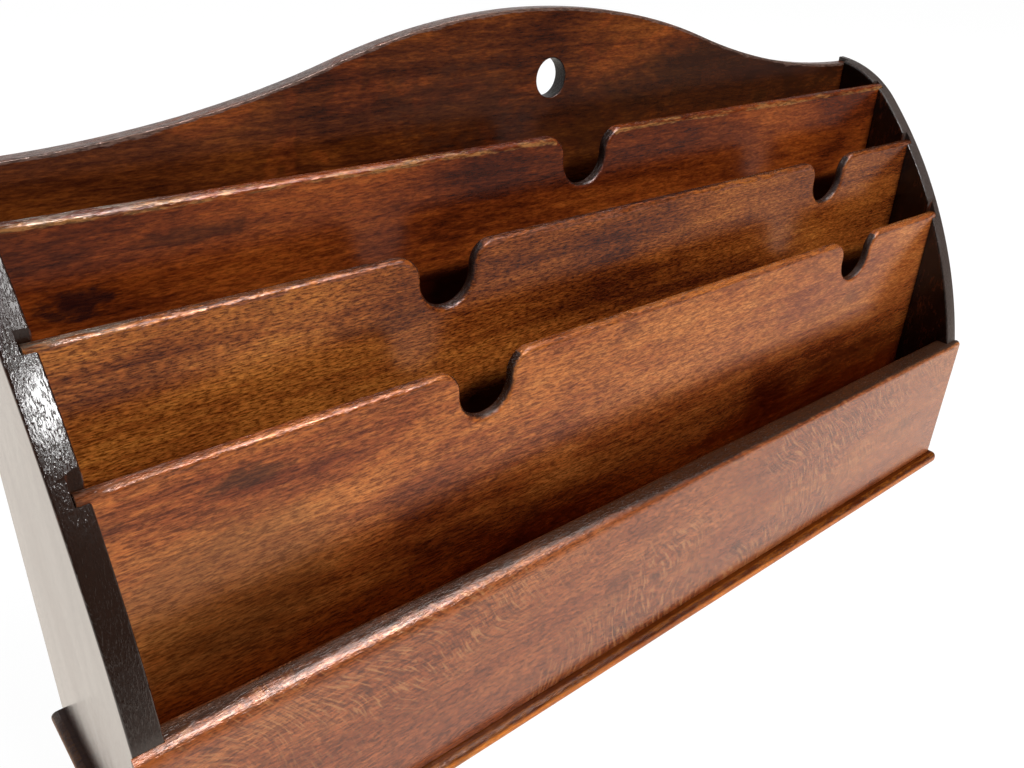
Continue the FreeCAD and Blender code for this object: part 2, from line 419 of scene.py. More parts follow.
def apply_tree(piece, tree, values):
    """Runs a tree on a piece with its named inputs, and keeps the result as a plain mesh."""
    modifier = piece.modifiers.new("work", "NODES")
    modifier.node_group = tree
    for item in tree.interface.items_tree:
        if item.in_out == "INPUT" and item.name in values:
            modifier[item.identifier] = values[item.name]
    worked = piece.evaluated_get(bpy.context.evaluated_depsgraph_get())
    mesh = bpy.data.meshes.new_from_object(worked)
    piece.modifiers.clear()
    piece.data = mesh
    return mesh


HOUSING_TREE = housing_tree()
print("cutting tree", len(HOUSING_TREE.nodes), "nodes")

# %% Cutting a row of blocks
# Corners deep inside a cut are darkened half way, a painted shade in the housings and rebates.
MARKS_INSIDE_A_CUT = {"rub": 0.0, "edge": 0.0, "dirt_and_shade": 0.5}
ON_SURFACE = 0.002 * MM
SHARP_FROM = math.radians(35)
CLEAR = 5


def carry_marks(old, new):
    """The new corners of a cut take the marks of the old surface under them."""
    old.calc_loop_triangles()
    corners = [v.co.copy() for v in old.vertices]
    triangles = [tuple(t.vertices) for t in old.loop_triangles]
    surface = BVHTree.FromPolygons(corners, triangles)
    for corner in new.vertices:
        spot, _, index, distance = surface.find_nearest(corner.co)
        if distance < ON_SURFACE:
            trio = triangles[index]
            shares = poly_3d_calc([corners[i] for i in trio], spot)
            marks = {
                label: sum(
                    s * old.attributes[label].data[i].value for s, i in zip(shares, trio))
                for label in MARKS_INSIDE_A_CUT
            }
        else:
            marks = MARKS_INSIDE_A_CUT
        for label, value in marks.items():
            new.attributes[label].data[corner.index].value = value


def cut_row(piece, count, low, high, step, finish):
    """Cuts count equal blocks from a piece. low and high are the corners of the first, and
    lie CLEAR outside the board where the cut runs out. Lengths are in millimetres."""
    low, high = np.array(low, float) * MM, np.array(high, float) * MM
    uncut = piece.data
    mesh = apply_tree(piece, HOUSING_TREE, {
        "Count": count,
        "First": Vector((low + high) / 2),
        "Step": Vector(step) * MM,
        "Block": Vector(high - low),
        "Finish": finish,
    })
    carry_marks(uncut, mesh)
    mesh.set_sharp_from_angle(angle=SHARP_FROM)
    print(piece.name, "after cutting", count, "faces", len(mesh.polygons))


print("marks deep inside a cut", MARKS_INSIDE_A_CUT)

# %% [markdown]
# ## Stained and polished wood
# The boards are a close-grained hardwood under a red-brown stain and shellac. Looking
# closely, five things show: short fine flecks along the grain, long streaks, dark
# smudges where the stain pooled, paler wood where hands rubbed the arrises through, and
# black notch walls, which are painted shade. Each is a noise stretched along the grain, read from
# Object coordinates in millimetres, so the pattern has the same scale on every board. The
# layers follow each other as the real ones do: stain, figure, marks, wear, dirt, and
# the polish over all; painted shade and a painted sheen are laid in among them.

# %% Colours and noise
def tone(code):
    """Linear colour of a hex sRGB code."""
    parts = [int(code[i:i + 2], 16) / 255 for i in (0, 2, 4)]
    return tuple(c / 12.92 if c <= 0.04045 else ((c + 0.055) / 1.055) ** 2.4 for c in parts)


def stops(places, codes):
    """Stops of a colour ramp: a place and a hex code each."""
    return tuple(zip(places, codes.split()))


class Finish(Nodes):
    """The nodes of a material, with short ways to stretch a noise and to mix colours."""

    def __init__(self, name):
        self.material = bpy.data.materials.new(name)
        self.material.use_nodes = True
        super().__init__(self.material.node_tree)

    def stretched(self, vector, stretch):
        return self.add("ShaderNodeVectorMath", {0: vector, 1: stretch}, operation="MULTIPLY")

    def noise(self, vector, stretch, detail=2.0, roughness=0.5, distortion=0.0):
        return self.add("ShaderNodeTexNoise", {
            "Vector": self.stretched(vector, stretch), "Scale": 1.0, "Detail": detail,
            "Roughness": roughness, "Distortion": distortion,
        })

    def weighted(self, first, *others):
        """Sum of values, each given as (value, weight)."""
        total = self.times(*first)
        for other in others:
            total = self.plus(total, self.times(*other))
        return total

    def ramp(self, value, steps):
        made = self.add("ShaderNodeValToRGB", {"Fac": value})
        points = made.color_ramp.elements
        while len(points) < len(steps):
            points.new(1.0)
        for point, (place, code) in zip(points, steps):
            point.position = place
            point.color = (*tone(code), 1)
        return made

    def mix(self, share, one, two, blend="MIX"):
        made = self.add("ShaderNodeMix", {0: share}, data_type="RGBA", blend_type=blend)
        for index, colour in ((6, one), (7, two)):
            self.give(made.inputs[index], (*colour, 1) if isinstance(colour, tuple) else colour)
        return made.outputs[2]


print("a worn arris in linear light", [round(c, 3) for c in tone("a5562a")])

# %% The layers of a board
GRAIN_TURNS = {"along_x": (0, 0, 0), "along_z": (0, math.pi / 2, 0)}
IN_MM = (1 / MM, 1 / MM, 1 / MM)
# Changes in a millimetre along and across the grain, then detail, roughness, distortion.
NOISES = {
    "clouds": ((0.012, 0.030, 0.030), 4.0, 0.55, 0.5),
    "streaks": ((0.014, 0.24, 0.24), 4.0, 0.6, 0.3),
    "lines": ((0.16, 1.1, 1.1), 3.0, 0.65),
    "ticks": ((0.46, 2.3, 2.3), 3.0, 0.65),
    "broken": ((0.10, 0.5, 0.5), 4.0, 0.7),
    "pools": ((0.022, 0.055, 0.055), 5.0, 0.65, 0.6),
    "swell": ((0.02, 0.05, 0.05), 2.0),
    "ragged": ((0.22, 0.5, 0.5), 3.0, 0.6),
    "figure": ((0.026, 0.040, 0.040), 2.0, 0.5, 1.6),
    "drift": ((0.022, 0.022, 0.022), 1.0),
    "patches": ((0.013, 0.022, 0.022), 2.0),
}


class Wood(Finish):
    """Finish of a board, whose colour is shaded and covered layer by layer. place is a
    point in the frame, board the same point in mm along the grain."""

    def __init__(self, name, shift, grain):
        super().__init__(name)
        self.place = self.add("ShaderNodeTexCoord").outputs["Object"]
        self.spot = self.add("ShaderNodeSeparateXYZ", {0: self.place}).outputs
        self.board = self.add("ShaderNodeMapping", {
            "Vector": self.place, "Location": shift, "Rotation": GRAIN_TURNS[grain],
            "Scale": IN_MM,
        })
        self.rubbed, self.edge, self.dirt_and_shade = (
            self.add("ShaderNodeAttribute", attribute_name=mark).outputs["Fac"]
            for mark in ("rub", "edge", "dirt_and_shade"))
        self.layers = {}

    def layer(self, name):
        """A noise of the table, made once for each board."""
        if name not in self.layers:
            self.layers[name] = self.noise(self.board, *NOISES[name])
        return self.layers[name]

    def shade(self, where, share, factor):
        """Multiplies the colour by a factor, as strongly as where times share."""
        self.colour = self.mix(self.times(where, share), self.colour, factor, "MULTIPLY")

    def cover(self, where, share, colour):
        """Lays another colour over, as strongly as where times share."""
        self.colour = self.mix(self.times(where, share), self.colour, colour)


print("noises to choose from", len(NOISES))

# %% Stain, flecks and smudges
BODY_WEIGHTS = {"clouds": 0.50, "streaks": 0.24, "lines": 0.26}
DARK_FLECK, BRIGHT_FLECK = (0.42, 0.34, 0.30), (1.55, 1.55, 1.5)
POOLED_STAIN, POOLED_SHARE = (0.34, 0.28, 0.30), 0.6
FLECKS_FULL_AT, FLECKS_LEAST_AT, FLECKS_LEAST = -20 * MM, 130 * MM, 0.55


def stain(wood, steps, flecks):
    """Colour through the steps from pooled stain to bright wood, with short flecks, of
    which the dark ones get weaker towards the right, and dark smudges."""
    body = wood.weighted(*((wood.layer(name), w) for name, w in BODY_WEIGHTS.items()))
    wood.colour = wood.ramp(body, steps)
    ticks = wood.layer("ticks")
    dark_share = wood.between(
        wood.spot["X"], FLECKS_LEAST_AT, FLECKS_FULL_AT, flecks * FLECKS_LEAST, flecks)
    wood.shade(wood.between(ticks, 0.51, 0.59), dark_share, DARK_FLECK)
    wood.shade(wood.between(ticks, 0.47, 0.39), flecks, BRIGHT_FLECK)
    wood.shade(wood.between(wood.layer("pools"), 0.56, 0.72), POOLED_SHARE, POOLED_STAIN)


print("shares of the body colour", BODY_WEIGHTS)

# %% Figure in the wood
LIGHT_BLOTCH, LIGHT_RIM, RIM_SHARE = (1.7, 1.55, 1.5), (1.6, 1.4, 1.3), 0.6
STROKE_MIDDLE, STROKE_BEND, STROKE_DRIFT = 30.0, 0.012, 45.0
STROKE_STRETCH = (0.95, 1.0, 0.16)
STROKE_BRIGHT, STROKE_DARK, STROKE_DARK_SHARE = "b57a4c", "43241a", 0.6


def blotchy_figure(wood, share):
    """Cloud-shaped lighter blotches with clear rims, as on a board cut through curly figure."""
    field = wood.layer("figure")
    wood.shade(wood.between(field, 0.55, 0.60), share, LIGHT_BLOTCH)
    rim = wood.times(wood.between(field, 0.53, 0.56), wood.between(field, 0.60, 0.57))
    wood.shade(rim, share * RIM_SHARE, LIGHT_RIM)


def curly_flecks(wood, share):
    """Ray flecks of the front board: short bright strokes across the grain, bent into arcs."""
    along = wood.add("ShaderNodeSeparateXYZ", {0: wood.board}).outputs
    height = wood.minus(along["Z"], STROKE_MIDDLE)
    lean = wood.times(wood.math("POWER", height, 2.0), STROKE_BEND)
    drift = wood.times(wood.layer("drift"), STROKE_DRIFT)
    across = wood.plus(wood.plus(along["X"], lean), drift)
    bent = wood.add("ShaderNodeCombineXYZ", {"X": across, "Y": 0.0, "Z": along["Z"]})
    strokes = wood.noise(bent, STROKE_STRETCH, 2.0, 0.6)
    patches = wood.between(wood.layer("patches"), 0.42, 0.58)
    bright = wood.times(wood.between(strokes, 0.52, 0.66), patches)
    dark = wood.times(wood.between(strokes, 0.48, 0.36), patches)
    wood.cover(bright, share, tone(STROKE_BRIGHT))
    wood.cover(dark, share * STROKE_DARK_SHARE, tone(STROKE_DARK))


print("a ray fleck leans", STROKE_BEND * 10 ** 2, "mm in the first 10 mm")

# %% Single marks, painted shade on the right side, and the painted shadow between the boards
LARGE_MARK = 30.0
SOFT_RIM, RAGGED_RIM = 0.6, 2.2
SHADE_WAVER = 0.7


def marks_and_painted_shade(wood, marks):
    """Marks that can be told apart in the photograph: (middle, half sizes, tone, share).
    Small ones have ragged rims, large ones are soft clouds. Some are painted shade."""
    for middle, sizes, code, share in marks:
        from_middle = wood.add("ShaderNodeVectorMath", {
            0: wood.stretched(wood.place, IN_MM), 1: middle,
        }, operation="SUBTRACT")
        in_sizes = wood.stretched(from_middle, [1 / size for size in sizes])
        far = wood.add("ShaderNodeVectorMath", {0: in_sizes}, operation="LENGTH")
        wander = SOFT_RIM if sizes[0] > LARGE_MARK else RAGGED_RIM
        rim = wood.times(wood.minus(wood.layer("ragged"), 0.5), wander)
        inside = wood.between(wood.plus(far.outputs["Value"], rim), 1.1, 0.5)
        wood.cover(inside, share, tone(code))


def paint_shade_by_height(wood, low, high, share, shade):
    """Takes on a painted shade from the high level to the low one, in mm: a shadow low between
    the boards, and the dark top of the base's edge.
    """
    waver = wood.times(wood.minus(wood.layer("clouds"), 0.5), (high - low) * SHADE_WAVER * MM)
    painted_shadow_mask = wood.between(wood.plus(wood.spot["Z"], waver), high * MM, low * MM)
    wood.shade(painted_shadow_mask, share, shade)


print("marks over", LARGE_MARK, "mm are soft")

# %% Wear, dirt, painted shade, and a dusty film with painted sheen
RUB_WEIGHT, WORN_SHADOW = 0.42, 0.4
DIRT_AND_SHADE_WEIGHT, BROKEN_WEIGHT = 0.75, 0.5


def wear_dirt_shade_and_sheen(wood, look):
    """Bare wood where the arris is rubbed, then dirt, which on notch walls and inside cuts is
    painted shade, then a grey dusty film on the edges, partly a painted sheen.
    """
    broken = wood.layer("broken")
    rubbed = wood.plus(wood.times(wood.rubbed, RUB_WEIGHT), broken)
    pale = tone(look["worn"])
    shadow = tuple(c * WORN_SHADOW for c in pale)
    bare = wood.mix(wood.between(wood.layer("ticks"), 0.58, 0.44), shadow, pale)
    wood.cover(wood.between(rubbed, 0.78, 0.94), look["rub"], bare)
    dirt_and_shade_mask = wood.weighted((wood.dirt_and_shade, DIRT_AND_SHADE_WEIGHT), (broken, BROKEN_WEIGHT))
    wood.cover(wood.between(dirt_and_shade_mask, 0.45, 0.75), look["edge_share"], tone(look["edge_tone"]))
    # A grey film on the edges at the left ends of the divider tops: dusty, and partly a painted
    # sheen where the window light catches them.
    if look["dust"]:
        begins, full, code, share = look["dust"]
        dust_and_sheen_film = wood.times(wood.between(wood.spot["X"], begins * MM, full * MM), wood.edge)
        dust_and_sheen_film = wood.times(dust_and_sheen_film, wood.between(wood.layer("lines"), 0.38, 0.56))
        wood.cover(dust_and_sheen_film, share, tone(code))


print("a rubbed arris adds", RUB_WEIGHT, "to its noise and turns bare between 0.78 and 0.94")

# %% Polish over grain in relief
SWELL_HEIGHT, COAT_ROUGHNESS = 0.25, 0.18


def polish(wood, look):
    """Shellac: glossy and a little uneven, over grain that stands up by parts of a mm."""
    ticks = wood.layer("ticks")
    uneven = wood.weighted((ticks, 0.5), (wood.layer("clouds"), 0.5))
    rough = wood.between(uneven, 0.38, 0.62, *look["gloss"])
    rough = wood.plus(rough, wood.times(wood.edge, look["dull_edge"]))
    ridges = wood.between(wood.noise(wood.board, look["hairs"], 2.0, 0.6), 0.45, 0.68)
    height = wood.weighted(
        (wood.layer("swell"), SWELL_HEIGHT), (ticks, look["relief"]),
        (wood.times(ridges, wood.edge), look["bristle"]))
    bump = wood.add("ShaderNodeBump", {"Height": height, "Strength": 1.0, "Distance": MM})
    shader = wood.add("ShaderNodeBsdfPrincipled", {
        "Base Color": wood.colour, "Roughness": rough, "Normal": bump,
        "Specular IOR Level": look["specular"], "Metallic": look["lustre"],
        "Coat Weight": look["coat"], "Coat Roughness": COAT_ROUGHNESS, "Coat Normal": bump,
    })
    wood.add("ShaderNodeOutputMaterial", {"Surface": shader})


print("faces swell by", SWELL_HEIGHT, "mm")

# %% [markdown]
# ## The look of each board
# All boards share one look, and each changes what differs on it. Low between the boards
# a painted shadow darkens the colour. The polish mirrors the white table softly, which makes the
# upper half of each divider hazy, and a small metallic share gives the sheen of polished
# fibres. The left end has a clear coat over fine ridges that run along its edge, and the
# front board a thinner coat. The left ends of the divider tops carry a grey dusty film,
# partly a painted sheen. The right end's inner face carries a painted shade. The
# edge of the base is bright below and dark above, the dark a painted shade.

# %% One look and its changes
# flecks, figure, curl: shares of these patterns. marks: single marks, some of them painted
# shade. depth: low and high level, share and factor of a painted shadow low between the boards.
# worn, rub: colour and share of the bare wood. edge_tone, edge_share: those of the dirt,
# which on notch walls and inside cuts is painted shade. dust: a grey dusty film
# on the edges that is partly a painted sheen, (from x, to x, tone, share).
# gloss: roughness from and to, dull_edge: what an edge adds to it. relief, bristle:
# height of the grain on the faces and of the ridges on the edges, hairs: the stretch of
# those ridges. lustre, specular, coat: metallic share, mirror level, clear coat.
PLAIN_LOOK = {
    "grain": "along_x", "flecks": 0.8, "figure": 0.0, "curl": 0.0, "marks": (),
    "depth": None, "worn": "a5562a", "rub": 1.0, "edge_tone": "120c0a",
    "edge_share": 0.95, "dust": None, "gloss": (0.17, 0.27), "dull_edge": 0.12,
    "relief": 0.035, "bristle": 0.16, "hairs": (0.36, 2.1, 2.1), "lustre": 0.2,
    "specular": 0.5, "coat": 0.0,
}


def stained_wood(name, shift, steps, **changes):
    """Finish of one board, its grain moved by the shift. Lengths are in millimetres."""
    look = {**PLAIN_LOOK, **changes}
    wood = Wood(name, shift, look["grain"])
    stain(wood, steps, look["flecks"])
    if look["figure"]:
        blotchy_figure(wood, look["figure"])
    if look["curl"]:
        curly_flecks(wood, look["curl"])
    marks_and_painted_shade(wood, look["marks"])
    # A painted shadow below a height, from the depth setting.
    if look["depth"]:
        paint_shade_by_height(wood, *look["depth"])
    wear_dirt_shade_and_sheen(wood, look)
    polish(wood, look)
    return wood.material


print("settings of a look", len(PLAIN_LOOK))

# %% Marks of single boards
BACK_MARKS = (
    ((98, 36, 160), (95, 4, 20), "24130c", 0.78),
    ((20, 36, 150), (40, 4, 16), "2a160e", 0.6),
    ((-35, 36, 160), (26, 4, 14), "3a2015", 0.4),
)
BACK_DIVIDER_MARKS = (
    ((-150.9, 19, 132.8), (9, 4, 4.5), "1a0b0e", 0.75),
    ((-121.9, 19, 143.5), (16, 4, 2.5), "2a1208", 0.5),
)
FRONT_DIVIDER_MARKS_AND_SHADE = (
    # The first is a painted shade, a broad darker patch low on the left.
    ((-138, -16, 72), (34, 4, 24), "5a3216", 0.5),
    ((-130.8, -16, 99.5), (11, 4, 3.2), "2c1608", 0.6),
    ((133, -16.5, 107.6), (9, 3, 1.2), "b5693a", 0.8),
)
FRONT_MARKS = (
    ((-69, -33, 58.3), (9, 4, 1.5), "b8682c", 0.9),
    ((-168, -38, 55), (4, 5, 5), "a8561f", 0.8),
)
# A painted shade: the right side's inner face, turned away from the lamps, darkened almost to
# black.
RIGHT_SIDE_PAINTED_SHADE = (((160, 0, 90), (6, 400, 400), "120a07", 0.95),)
print("marks on the back board", len(BACK_MARKS))

# %% The finishes
FIVE_STEPS = (0.38, 0.45, 0.51, 0.57, 0.64)
SIDE_STOPS = stops((0.36, 0.45, 0.54, 0.64), "1f0e08 34170d 4b2413 66351d")
BASE_STOPS = stops((0.36, 0.45, 0.54, 0.66), "7a3a10 a85616 cf7420 e09238")
# Factors of the painted shade: below the shadow lines between the boards, and at the top of the
# base's edge.
WARM_PAINTED_SHADE, BLACK_PAINTED_SHADE = (0.22, 0.10, 0.04), (0.10, 0.06, 0.05)
DIVIDER_EDGE = {"edge_tone": "2b1c16", "dull_edge": 0.02}
WOODS = {
    "back_board": stained_wood(
        "polished_back", (310, 40, 900), stops(FIVE_STEPS, "260d05 441b09 5c2a0f 733913 88491c"),
        figure=0.5, flecks=0.5, marks=BACK_MARKS, rub=0.85, worn="7a6055",
        edge_tone="140c0a", specular=0.4, depth=(130, 142, 0.8, WARM_PAINTED_SHADE),
    ),
    "back_divider": stained_wood(
        "polished_back_divider", (720, 15, 310),
        stops(FIVE_STEPS, "401607 60260c 7b3712 914718 a65923"),
        marks=BACK_DIVIDER_MARKS, flecks=0.6, worn="a06a3a", **DIVIDER_EDGE,
        depth=(118, 122.5, 1.0, BLACK_PAINTED_SHADE), dust=(-118, -142, "8f877b", 0.75),
    ),
    "middle_divider": stained_wood(
        "polished_middle_divider", (150, 75, 610),
        stops(FIVE_STEPS, "481b09 6d3311 8b4a1c a25e25 b8732f"),
        flecks=1.0, worn="8f5236", **DIVIDER_EDGE,
        depth=(87, 93.5, 1.0, BLACK_PAINTED_SHADE), dust=(-138, -154, "7d7468", 0.75),
    ),
    "front_divider": stained_wood(
        "polished_front_divider", (480, 35, 120),
        stops(FIVE_STEPS, "6c2e12 8e481f a85f2a b97036 c47e3f"),
        marks=FRONT_DIVIDER_MARKS_AND_SHADE, worn="9a5530", **DIVIDER_EDGE,
        depth=(44, 86, 1.0, WARM_PAINTED_SHADE), dust=(-130, -150, "7a5a4a", 0.6),
    ),
    "left_side": stained_wood(
        "polished_left_side", (45, 330, 20), SIDE_STOPS, grain="along_z", rub=0.1,
        relief=0.01, bristle=0.052, hairs=(0.5, 0.6, 2.8), gloss=(0.14, 0.22),
        dull_edge=0.0, coat=0.55, lustre=0.0, edge_tone="22140d",
    ),
    "right_side": stained_wood(
        "polished_right_side", (95, 530, 70), SIDE_STOPS, grain="along_z",
        marks=RIGHT_SIDE_PAINTED_SHADE, flecks=0.25, rub=0.1, relief=0.02, bristle=0.10,
        edge_tone="3a2f2a", lustre=0.0,
    ),
    "front_board": stained_wood(
        "polished_front", (640, 220, 15), stops(FIVE_STEPS, "7f3f21 8d4a28 9b5730 a56338 b17042"),
        curl=0.8, marks=FRONT_MARKS, rub=0.75, worn="a85a2a", bristle=0.06,
        gloss=(0.24, 0.34), dull_edge=-0.02, edge_tone="2b1a10", coat=0.3,
    ),
    "base_board": stained_wood(
        "polished_base", (35, 120, 440), BASE_STOPS, worn="cf7c2c", edge_share=0.0, rub=0.2,
        flecks=0.35, specular=0.2, lustre=0.05, depth=(3.9, 2.9, 0.95, BLACK_PAINTED_SHADE),
    ),
}


def hand_over(piece, node):
    """The finished piece stands for its CAD node."""
    piece.data.materials.clear()
    piece.data.materials.append(WOODS[node])
    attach(piece, "root")
    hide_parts(node)


print("finishes", len(WOODS))

# %% [markdown]
# ## Pins
# The boards are held by glue and by wire pins, driven in and punched just under the
# surface. Each pin's place is read from its CAD solid. A second Geometry Nodes tree
# puts one wire on each place.

# %% Where the pins are
PIN_TRAVEL = {"base_pins": (2, 1), "back_pins": (1, -1), "front_pins": (1, 1)}
SAME_POINT = 0.001 * MM


def solids_of(node):
    """Lowest and highest corner, in mm, of each separate solid of a CAD node."""
    work = bmesh.new()
    work.from_mesh(frame["nodes"][node].data)
    bmesh.ops.remove_doubles(work, verts=work.verts, dist=SAME_POINT)
    seen, found = set(), []
    for first in work.verts:
        if first in seen:
            continue
        group, queue = [], [first]
        seen.add(first)
        while queue:
            corner = queue.pop()
            group.append(np.array(corner.co) / MM)
            for link in corner.link_edges:
                other = link.other_vert(corner)
                if other not in seen:
                    seen.add(other)
                    queue.append(other)
        found.append((np.min(group, axis=0), np.max(group, axis=0)))
    work.free()
    return found


def pin_starts(node):
    """Outer end of every pin of a node, with the radius and length of one."""
    axis, sense = PIN_TRAVEL[node]
    starts = []
    for low, high in solids_of(node):
        start = (low + high) / 2
        start[axis] = low[axis] if sense > 0 else high[axis]
        starts.append(start)
    radius = (high - low)[(axis + 1) % 3] / 2
    return starts, radius, (high - low)[axis]


PINS = {node: pin_starts(node) for node in PIN_TRAVEL}
print("pins", {node: len(found[0]) for node, found in PINS.items()})

# %% [markdown]
# ## Dividers
# Each divider is a thin board with one or two thumb notches, a round throat with flared
# corners. The notch places come from the openings in the record. The top edge is rounded
# over, also inside the notches, because fingers rub it every day, and the arris towards
# the user is rounded most.

# %% Outline of a divider
NOTCH_DEPTH, NOTCH_THROAT, NOTCH_CORNER = 16.0, 8.4, 6.6
NOTCH_STEP = 1.0
DIVIDERS = ("back_divider", "middle_divider", "front_divider")


def notch_centres(node):
    """Middle of each notch along the board, from the openings in the record, right to left."""
    openings = frame["record"]["physics"]["openings"]
    centres = []
    for opening in openings:
        if opening["name"].startswith(node) and opening["name"].endswith("notch_throat"):
            (x_low, _, _), (x_high, _, _) = opening["box_m"]
            centres.append((x_low + x_high) / 2 / MM)
    return sorted(centres, reverse=True)


def divider_outline(node):
    low, high = in_mm(node)
    left, right, bottom, top = low[0], high[0], low[2], high[2]
    throat_z = top - NOTCH_DEPTH + NOTCH_THROAT
    corner_z = top - NOTCH_CORNER
    mouth = NOTCH_THROAT + NOTCH_CORNER
    points = run((left, bottom), (right, bottom)) + run((right, bottom), (right, top))
    at = (right, top)
    for x in notch_centres(node):
        points += run(at, (x + mouth, top))
        points += arc((x + mouth, corner_z), NOTCH_CORNER, 90, 180)
        points += run((x + NOTCH_THROAT, corner_z), (x + NOTCH_THROAT, throat_z), step=NOTCH_STEP)
        points += arc((x, throat_z), NOTCH_THROAT, 360, 180)
        points += run((x - NOTCH_THROAT, throat_z), (x - NOTCH_THROAT, corner_z), step=NOTCH_STEP)
        points += arc((x - mouth, corner_z), NOTCH_CORNER, 0, 90)
        at = (x - mouth, top)
    points += run(at, (left, top)) + run((left, top), (left, bottom))
    return np.array(points)


print("notches", {node: len(notch_centres(node)) for node in DIVIDERS})

# %% The three dividers
TOP_BAND, END_BAND, NOTCH_BAND = 1.2, 0.5, 1.0
NEAR_EASE, FAR_EASE, HIDDEN_EASE = 1.5, 0.5, 0.2
TOP_WEAR, OTHER_WEAR = 0.95, 0.1
TOP_SOOT = {"back_divider": 0.28, "middle_divider": 0.50, "front_divider": 0.40}
# Notch walls are darkened to black, a painted shade.
NOTCH_PAINTED_SHADE = 1.0
DIVIDER_MARGIN = (2.4, 0.8)
for order, node in enumerate(DIVIDERS):
    low, high = in_mm(node)
    outline = divider_outline(node)
    reach = high[2] - NOTCH_DEPTH - NOTCH_BAND

    def at_top(point, floor=reach, end=high[0]):
        return point[1] > floor and abs(point[0]) < end - END_BAND

    near = eased(outline, at_top, NEAR_EASE, HIDDEN_EASE, seed=order + 1.5)
    far = eased(outline, at_top, FAR_EASE, HIDDEN_EASE, seed=order + 4.5)
    on_straight = outline[:, 1] > high[2] - TOP_BAND
    wear = np.where(on_straight, TOP_WEAR, OTHER_WEAR)
    dirt_and_shade = np.where(on_straight, TOP_SOOT[node], NOTCH_PAINTED_SHADE)
    piece = board_mesh(
        node + "_piece", [(outline, near, far, wear, dirt_and_shade)], high[1] - low[1], upright(low[1]),
        margins=(DIVIDER_MARGIN, DIVIDER_MARGIN),
    )
    hand_over(piece, node)

# %% [markdown]
# ## Back board
# The crest is a serpentine: an arch in the middle and a hollow on each half, tangent to
# each other. The height of the board and the width fix all radii. The hole is for a
# nail in the wall.

# %% Crest of the back board
CREST_PEAK_OFFSET = 6.6
CREST_LEFT = {"end_rise": 0.4, "turn_share": 0.42}
CREST_RIGHT = {"end_rise": -1.5, "turn_share": 0.44}
CREST_STEP = 1.0


def crest_half(peak, end, turn_share):
    """Points from the end of the crest to its peak: a hollow and an arch that meet smoothly."""
    length = abs(end[0] - peak[0])
    turn = 2 * math.atan((peak[1] - end[1]) / length)
    arch = length * turn_share / math.sin(turn)
    hollow = length * (1 - turn_share) / math.sin(turn)
    sense = 1 if end[0] > peak[0] else -1
    turned = sense * math.degrees(turn)
    points = arc((end[0], end[1] + hollow), hollow, 270, 270 - turned, step=CREST_STEP)
    points += arc((peak[0], peak[1] - arch), arch, 90 - turned, 90, step=CREST_STEP)
    return points


low, high = in_mm("back_board")
side_low, side_high = in_mm("left_side")
half_width, crest_z = high[0], high[2]
peak = (-CREST_PEAK_OFFSET, crest_z)
right_end = (half_width, side_high[2] + CREST_RIGHT["end_rise"])
left_end = (-half_width, side_high[2] + CREST_LEFT["end_rise"])
mount = next(m for m in frame["record"]["mounts"] if m["name"] == "hanging_hole")
hole_z, hole_radius = mount["pos_m"][2] / MM, mount["dims"]["r_mm"]
print("hanging hole at", hole_z, "radius", hole_radius)
right_half = crest_half(peak, right_end, CREST_RIGHT["turn_share"])
left_half = crest_half(peak, left_end, CREST_LEFT["turn_share"])
outline = np.array(
    run((-half_width, low[2]), (half_width, low[2])) + run((half_width, low[2]), right_end)
    + right_half + [np.array(peak)] + left_half[:0:-1]
    + run(left_end, (-half_width, low[2]))
)

# %% Back board
PUNCH_SLACK = 0.15
CREST_EASE, CREST_WEAR, CREST_SOOT = 0.4, 1.6, 0.1
HOLE_EASE, HOLE_WEAR, HOLE_SOOT = 0.4, 0.4, 1.0
CREST_BAND, CREST_END_BAND = 0.5, 0.3
FRONT_FACE_MARGIN, REAR_FACE_MARGIN = (2.0, 0.7), (0.4, 0.2)


def punches(node, axes, face):
    """Punch holes on a board's face where the pins of a node went in."""
    starts, radius, _ = PINS[node]
    flat = [i for i in range(3) if i not in axes][0]
    return [
        ((start[axes[0]], start[axes[1]]), radius, abs(start[flat] - face) + PUNCH_SLACK)
        for start in starts
    ]


def on_crest(point):
    return (point[1] > right_end[1] - CREST_BAND
            and abs(point[0]) < half_width - CREST_END_BAND)


hole = np.array(arc((0, hole_z), hole_radius, 360, 0))
hole_ease = np.full(len(hole), HOLE_EASE)
ease = eased(outline, on_crest, CREST_EASE, HIDDEN_EASE, seed=9.5)
wear = np.where([on_crest(p) for p in outline], CREST_WEAR, OTHER_WEAR)
dirt_and_shade = np.full(len(outline), CREST_SOOT)
hole_wear, hole_soot = np.full(len(hole), HOLE_WEAR), np.full(len(hole), HOLE_SOOT)
back_board = board_mesh(
    "back_board_piece",
    [(outline, ease, ease, wear, dirt_and_shade), (hole, hole_ease, hole_ease, hole_wear, hole_soot)],
    high[1] - low[1], upright(low[1]),
    margins=(FRONT_FACE_MARGIN, REAR_FACE_MARGIN),
    punches=((), punches("back_pins", (0, 2), high[1])),
)
hand_over(back_board, "back_board")

# %% [markdown]
# ## Front board
# A plain low board whose ends are rebated, so that a thin lip covers the front edge of
# each side. It is made as one board, and the cutting tree takes out the two rebates. Its
# top is worn much rounder on the left, where the hand comes in. It is dirty, and darker
# towards the right as painted shade where no sheen falls.

# %% Outline of the front board
FRONT_BAND = 0.5
low, high = in_mm("front_board")
front_z = high[2]
outline = np.array(
    run(low[[0, 2]], (high[0], low[2])) + run((high[0], low[2]), high[[0, 2]])
    + run(high[[0, 2]], (low[0], high[2])) + run((low[0], high[2]), low[[0, 2]])
)


def on_front_top(point):
    return point[1] > front_z - FRONT_BAND


print("the front board's top is at", round(front_z, 1), "mm")

